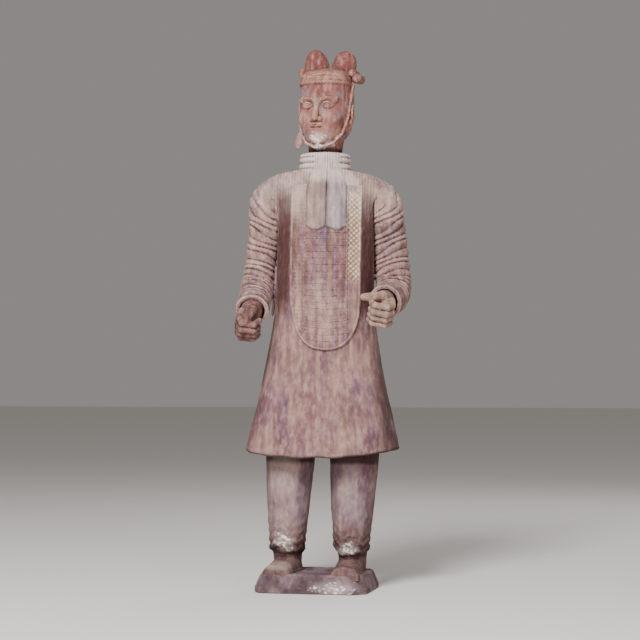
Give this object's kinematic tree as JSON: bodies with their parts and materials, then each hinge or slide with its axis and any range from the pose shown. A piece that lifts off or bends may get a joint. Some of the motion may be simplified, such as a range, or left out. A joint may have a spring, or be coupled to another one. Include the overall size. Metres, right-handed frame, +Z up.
{
  "type": "terracotta warrior statue",
  "caption": "Standing officer statue in knee-length robe, scaled apron and lobed cap on a low plinth, with a separately fired head set in the collar.",
  "frame": {"origin": "middle of the plinth's underside, where the statue stands", "axes": "+Z up, the figure faces -Y, +X towards its left hand"},
  "size_m": [0.2813, 0.2289, 0.9027],
  "materials": {
    "figure_clay": "matt unglazed terracotta with grey-mauve and buff weathering",
    "head_clay": "matt unglazed terracotta, redder than the figure"
  },
  "bodies": {
    "root": {"warrior_figure": "figure_clay", "warrior_head": "head_clay"}
  },
  "joints": []
}
